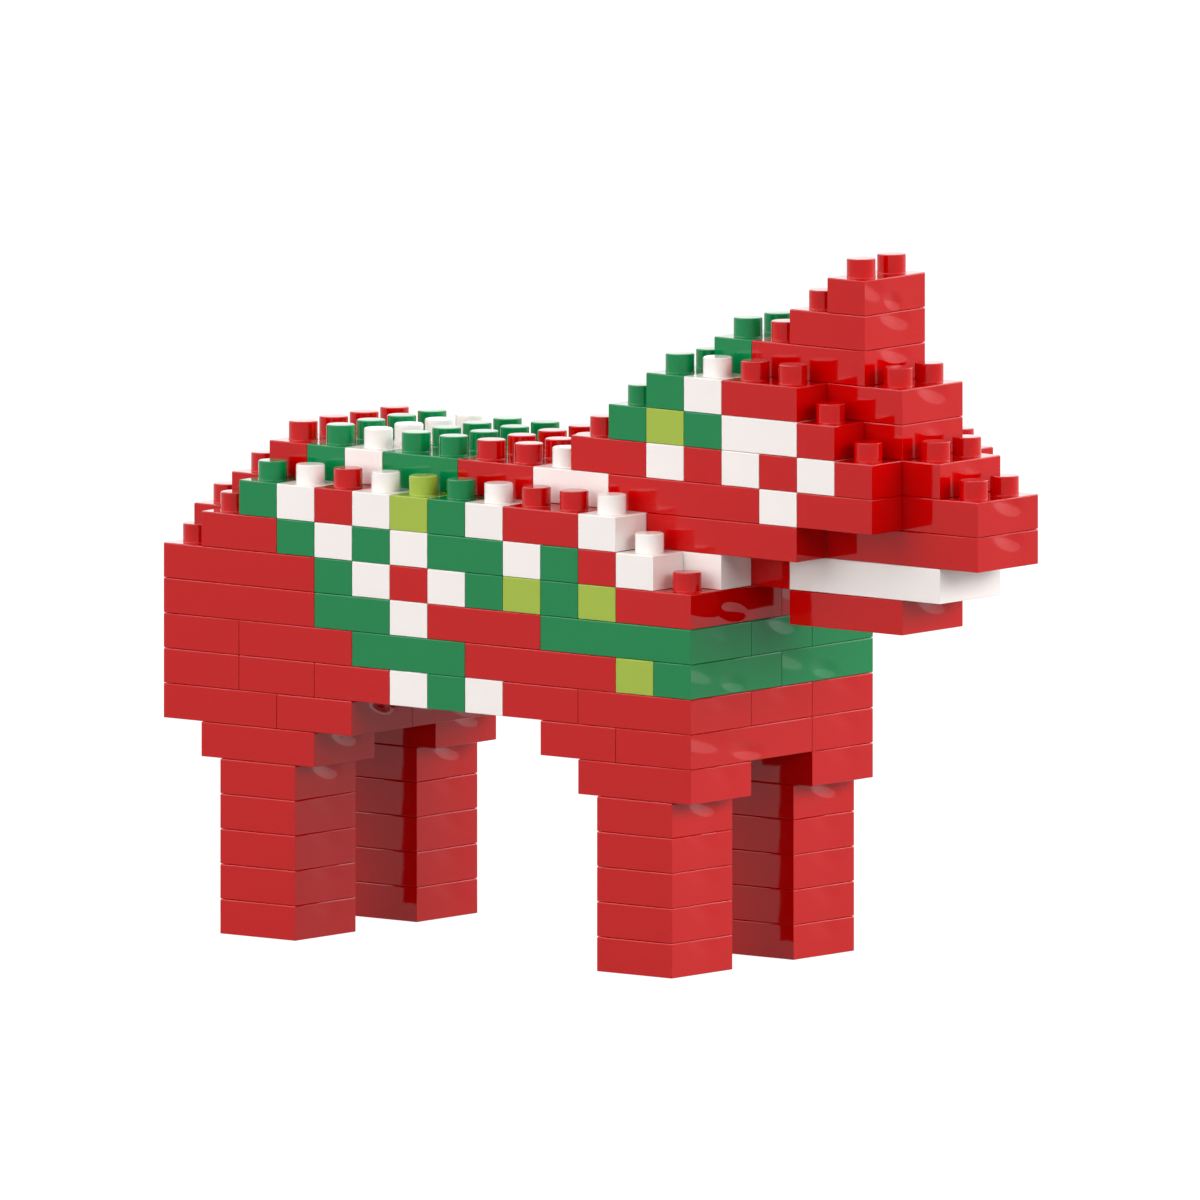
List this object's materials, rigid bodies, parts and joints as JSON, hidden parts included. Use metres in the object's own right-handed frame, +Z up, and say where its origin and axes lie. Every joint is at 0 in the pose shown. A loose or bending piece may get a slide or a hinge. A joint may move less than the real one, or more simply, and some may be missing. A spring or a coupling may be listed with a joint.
{
  "type": "dala horse",
  "caption": "Standing folk-art horse built of small interlocking toy bricks in red, green, white and lime, with open studs along its back, neck and nose.",
  "frame": {"origin": "on the standing surface, under the middle of the horse's bounding box", "axes": "+X towards the nose, +Y towards the horse's left flank, +Z up"},
  "size_m": [0.08, 0.024, 0.06],
  "materials": {
    "red": "gloss",
    "green": "gloss",
    "white": "gloss",
    "lime": "gloss"
  },
  "bodies": {
    "root": {"back_green": "green", "back_lime": "lime", "back_red": "red", "back_white": "white", "belly_green": "green", "belly_red": "red", "belly_white": "white", "brow_green": "green", "brow_red": "red", "brow_white": "white", "cheek_red": "red", "cheek_white": "white", "chest_front": "red", "chest_rear": "red", "crown_green": "green", "crown_red": "red", "ear_base": "red", "ear_tip": "red", "eye_green": "green", "eye_lime": "lime", "eye_red": "red", "eye_white": "white", "fore_left_foot": "red", "fore_left_leg": "red", "fore_left_thigh": "red", "fore_right_foot": "red", "fore_right_leg": "red", "fore_right_thigh": "red", "hind_left_foot": "red", "hind_left_leg": "red", "hind_left_thigh": "red", "hind_right_foot": "red", "hind_right_leg": "red", "hind_right_thigh": "red", "hip_front": "red", "hip_rear": "red", "jaw": "red", "lower_flank_green": "green", "lower_flank_lime": "lime", "lower_flank_red": "red", "middle_flank_green": "green", "middle_flank_red": "red", "middle_flank_white": "white", "mouth": "white", "shoulder_green": "green", "shoulder_red": "red", "shoulder_white": "white", "spine_green": "green", "spine_red": "red", "spine_white": "white", "upper_flank_green": "green", "upper_flank_lime": "lime", "upper_flank_red": "red", "upper_flank_white": "white", "upper_lip": "red"}
  },
  "joints": []
}
